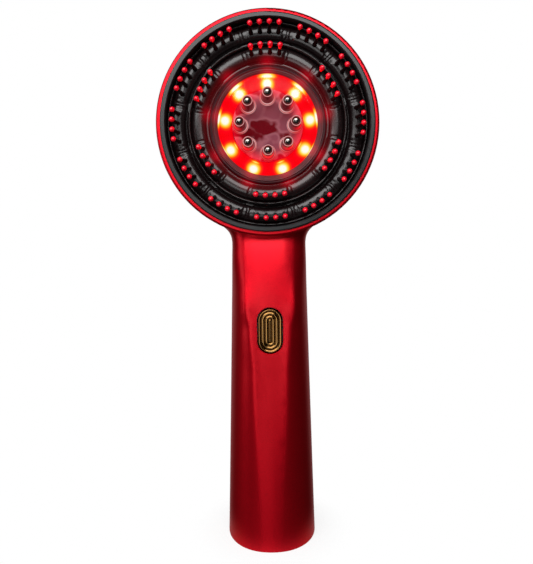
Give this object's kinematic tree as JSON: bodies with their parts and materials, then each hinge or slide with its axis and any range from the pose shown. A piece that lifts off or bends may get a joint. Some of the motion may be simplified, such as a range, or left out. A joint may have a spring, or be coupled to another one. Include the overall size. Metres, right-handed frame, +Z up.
{
  "type": "scalp massager",
  "caption": "Hand-held scalp massager: upright red handle with a round bristle head, a glowing ring window, a clear nozzle cup with roller balls and a gold button.",
  "frame": {"origin": "centre of the flat base, on the handle's axis", "axes": "+Z up the handle to the head, -Y out of the bristle face, +X to the right as the face is looked at"},
  "size_m": [0.084, 0.0499, 0.209],
  "materials": {
    "red_paint": "satin metallic paint on moulded plastic",
    "grey_plastic": "fine matt moulding",
    "black_silicone": "glossy silicone",
    "red_silicone": "glossy silicone",
    "clear_plastic": "clear polished moulding",
    "steel": "polished",
    "gold_plating": "polished plating",
    "black_plastic": "fine matt moulding",
    "white_plastic": "smooth moulding",
    "circuit_board": "solder mask",
    "light_chip": "clear resin over a lit chip",
    "zinc_screw": "zinc plated",
    "motor_steel": "plain steel",
    "battery_wrap": "shrink film",
    "lead_cover": "soft insulation"
  },
  "bodies": {
    "housing": {"front_shell": "red_paint", "rear_shell": "red_paint", "base_cap": "red_paint", "base_screws": "zinc_screw", "head_frame": "black_plastic", "frame_screws": "zinc_screw", "rim_ring": "grey_plastic", "light_board": "circuit_board", "light_reflector": "white_plastic", "light_chips": "light_chip", "light_window": "clear_plastic", "window_gasket": "black_silicone", "outer_bristle_tips": "red_silicone", "inner_bristle_tips": "red_silicone", "massage_pad": "black_silicone", "cup_lid": "clear_plastic", "filler_plug": "black_silicone", "motor_can": "motor_steel", "motor_cap": "white_plastic", "motor_clamp": "black_plastic", "clamp_screws": "zinc_screw", "switch_body": "black_plastic", "control_board": "circuit_board", "board_screws": "zinc_screw", "board_parts": "black_plastic", "charge_socket": "motor_steel", "charge_contacts": "black_plastic", "battery_cell": "battery_wrap", "positive_tab": "motor_steel", "negative_tab": "motor_steel", "battery_leads": "lead_cover", "motor_leads": "lead_cover", "light_leads": "lead_cover"},
    "button": {"power_button": "gold_plating", "switch_plunger": "black_plastic"},
    "cup": {"applicator_cup": "clear_plastic", "cup_seal": "black_silicone"},
    "rotor": {"motor_shaft": "motor_steel", "eccentric_weight": "motor_steel"},
    "ball_1": {"roller_ball_1": "steel"},
    "ball_2": {"roller_ball_2": "steel"},
    "ball_3": {"roller_ball_3": "steel"},
    "ball_4": {"roller_ball_4": "steel"},
    "ball_5": {"roller_ball_5": "steel"},
    "ball_6": {"roller_ball_6": "steel"},
    "ball_7": {"roller_ball_7": "steel"},
    "ball_8": {"roller_ball_8": "steel"}
  },
  "joints": [
    {"name": "power_press", "type": "slide", "parent": "housing", "child": "button", "axis": [0, 1, 0], "range_m": [0, 0.0005], "stiffness_N_per_m": 2500, "springref_m": -0.0002},
    {"name": "cup_pull", "type": "slide", "parent": "housing", "child": "cup", "axis": [0, -1, 0], "range_m": [0, 0.035]},
    {"name": "rotor_spin", "type": "hinge", "parent": "housing", "child": "rotor", "pos_m": [0.006, 0.01215, 0.167], "axis": [1, 0, 0], "continuous": true},
    {"name": "ball_1_roll", "type": "hinge", "parent": "cup", "child": "ball_1", "pos_m": [0, -0.0235, 0.1774], "axis": [1, 0, 0], "continuous": true},
    {"name": "ball_2_roll", "type": "hinge", "parent": "cup", "child": "ball_2", "pos_m": [-0.00735, -0.0235, 0.17435], "axis": [1, 0, 0], "continuous": true},
    {"name": "ball_3_roll", "type": "hinge", "parent": "cup", "child": "ball_3", "pos_m": [-0.0104, -0.0235, 0.167], "axis": [1, 0, 0], "continuous": true},
    {"name": "ball_4_roll", "type": "hinge", "parent": "cup", "child": "ball_4", "pos_m": [-0.00735, -0.0235, 0.15965], "axis": [1, 0, 0], "continuous": true},
    {"name": "ball_5_roll", "type": "hinge", "parent": "cup", "child": "ball_5", "pos_m": [0, -0.0235, 0.1566], "axis": [1, 0, 0], "continuous": true},
    {"name": "ball_6_roll", "type": "hinge", "parent": "cup", "child": "ball_6", "pos_m": [0.00735, -0.0235, 0.15965], "axis": [1, 0, 0], "continuous": true},
    {"name": "ball_7_roll", "type": "hinge", "parent": "cup", "child": "ball_7", "pos_m": [0.0104, -0.0235, 0.167], "axis": [1, 0, 0], "continuous": true},
    {"name": "ball_8_roll", "type": "hinge", "parent": "cup", "child": "ball_8", "pos_m": [0.00735, -0.0235, 0.17435], "axis": [1, 0, 0], "continuous": true}
  ]
}
